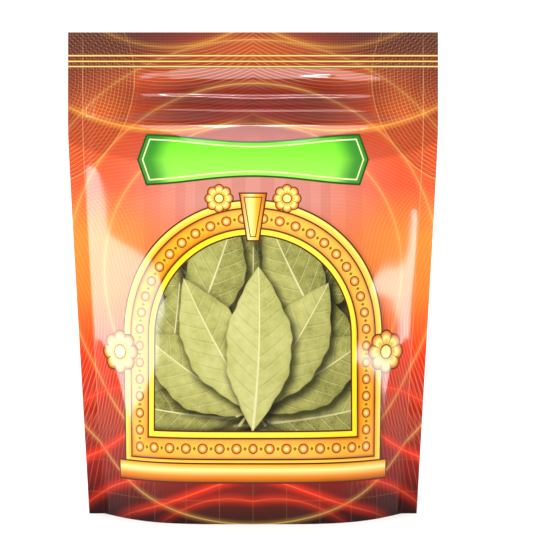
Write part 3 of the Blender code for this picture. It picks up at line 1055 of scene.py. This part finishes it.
def leaf_map(mesh):
    """A map in the leaf's own lengths: across from the midrib and along from the stalk."""
    points = np.array([v.co[:] for v in mesh.vertices]) * METRE
    centred = points - points.mean(axis=0)
    _, _, axes = np.linalg.svd(centred, full_matrices=False)
    along, across = centred @ axes[0], centred @ axes[1]
    end = 0.3 * np.ptp(along)
    low_width = np.abs(across[along < along.min() + end]).mean()
    high_width = np.abs(across[along > along.max() - end]).mean()
    if low_width > high_width:
        along = -along
    along -= along.min()
    layer = mesh.uv_layers.new(name="Leaf")
    corners = np.array([loop.vertex_index for loop in mesh.loops])
    places = np.stack([across[corners] / LEAF_SPAN + MAP_MIDDLE, along[corners] / LEAF_SPAN], axis=1)
    layer.data.foreach_set("uv", places.astype(np.float32).ravel())


def leaf_piece(node_name, material):
    """A leaf with the solid's form, welded, rounded and given its veins."""
    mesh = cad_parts[node_name].data.copy()
    mesh.materials.clear()
    while mesh.uv_layers:
        mesh.uv_layers.remove(mesh.uv_layers[0])
    weld_mesh(mesh)
    mesh.materials.append(material)
    mesh.shade_smooth()
    leaf_map(mesh)
    piece = place_object("dressed_" + node_name, mesh)
    rounding = piece.modifiers.new("rounding", "SUBSURF")
    rounding.levels = rounding.render_levels = 2
    return piece


def weld_mesh(mesh):
    """Joins corners that share a place, to a hundredth of a millimetre."""
    shell = bmesh.new()
    shell.from_mesh(mesh)
    bmesh.ops.remove_doubles(shell, verts=shell.verts, dist=0.00001)
    shell.to_mesh(mesh)
    shell.free()


# Studio

def new_light(name, place, size):
    """A soft rectangular light."""
    data = bpy.data.lights.new(name, "AREA")
    data.shape = "RECTANGLE"
    data.size, data.size_y = size
    lamp = place_object(name, data)
    lamp.location = place
    return lamp


def area_light(name, place, target, size, power):
    """A soft light that faces a point."""
    lamp = new_light(name, place, size)
    lamp.data.energy = power
    lamp.rotation_euler = (Vector(target) - Vector(place)).to_track_quat("-Z", "Z").to_euler()


def strip_light(name, start, end, width, brightness):
    """A soft light whose long side runs between two points and which faces the pouch."""
    start, end = Vector(start), Vector(end)
    place = (start + end) / 2
    facing = (place - Vector(POUCH_MIDDLE)).normalized()
    along = (end - start).normalized()
    facing = (facing - along * facing.dot(along)).normalized()
    across = facing.cross(along)
    lamp = new_light(name, place, ((end - start).length, width))
    lamp.data.energy = brightness * math.pi * lamp.data.size * lamp.data.size_y
    lamp.matrix_world = Matrix((along, across, facing)).transposed().to_4x4()
    lamp.location = place


def studio():
    """Soft lights over the front and the back, one for the zip's ridges, and a strip on each side."""
    world = bpy.data.worlds.new("sky")
    world.use_nodes = True
    sky = world.node_tree.nodes["Background"]
    sky.inputs["Color"].default_value = (1, 1, 1, 1)
    sky.inputs["Strength"].default_value = SKY_STRENGTH
    bpy.context.scene.world = world
    area_light("over_front", (0, -0.42, 0.85), POUCH_MIDDLE, size=(0.8, 0.35), power=6.4)
    area_light("over_back", (0, 0.55, 0.95), BEHIND_POUCH, size=(1.2, 0.5), power=7)
    area_light("ridge_light", (0, -0.24, 0.92), POUCH_MIDDLE, size=(0.2, 0.06), power=2.2)
    strip_light("left_strip", (-0.541, -0.68, 0.234), (-0.8375, -0.176, 0.015), 0.072, brightness=17)
    strip_light("right_strip", (0.668, -0.524, 0.15), (0.8375, -0.176, 0.015), 0.026, brightness=20)


def floor():
    """A pale sweep that curves up behind the pouch."""
    profile = [(SWEEP_FRONT, 0.0)]
    for k in range(SWEEP_STEPS + 1):
        turn = math.pi / 2 * k / SWEEP_STEPS
        y = SWEEP_BACK - SWEEP_RADIUS + SWEEP_RADIUS * math.sin(turn)
        profile.append((y, SWEEP_RADIUS - SWEEP_RADIUS * math.cos(turn)))
    profile.append((SWEEP_BACK, SWEEP_TOP))
    points = [(x, y, z) for x in (-SWEEP_HALF_WIDTH, SWEEP_HALF_WIDTH) for y, z in profile]
    count = len(profile)
    faces = [(k, k + 1, count + k + 1, count + k) for k in range(count - 1)]
    mesh = bpy.data.meshes.new("sweep")
    mesh.from_pydata(points, [], faces)
    mesh.shade_smooth()
    paint = MaterialPaint("sweep_paper")
    mesh.materials.append(paint.finish(srgb(250, 250, 250), 0.7))
    piece = place_object("sweep", mesh)


def camera():
    """A level view with the pouch left of its middle."""
    data = bpy.data.cameras.new("camera")
    data.sensor_width = SENSOR
    data.lens = SENSOR * CAMERA_DISTANCE / VIEW_WIDTH
    data.shift_x = VIEW_SHIFT
    view = place_object("camera", data)
    view.location = (0, -CAMERA_DISTANCE, CAMERA_HEIGHT)
    view.rotation_euler = (math.pi / 2, 0, 0)
    bpy.context.scene.camera = view


def dress():
    """Puts the pieces in place of the solids, and gives the zip strips their material."""
    base = base_group()
    front_print = [base_material(base), picture_material(base)]
    front = film_panel("film_front", -1, FRONT_PHASE, front_print)
    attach(front, "root")
    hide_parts("front_panel")
    behind = back_material(base)
    back = film_panel("film_back", 1, BACK_PHASE, [behind, behind])
    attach(back, "root")
    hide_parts("back_panel")
    gusset = gusset_piece()
    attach(gusset, "root")
    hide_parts("bottom_gusset")
    polythene = zip_material()
    for name in ("zip_rib_strip", "zip_groove_strip"):
        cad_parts[name].material_slots[0].material = polythene
    veined = leaf_material()
    for name in sorted(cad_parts):
        if name.startswith("bay_leaf"):
            leaf = leaf_piece(name, veined)
            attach(leaf, "root")
            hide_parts(name)


bpy.context.scene.view_settings.view_transform = "Standard"
camera()
studio()
floor()
dress()
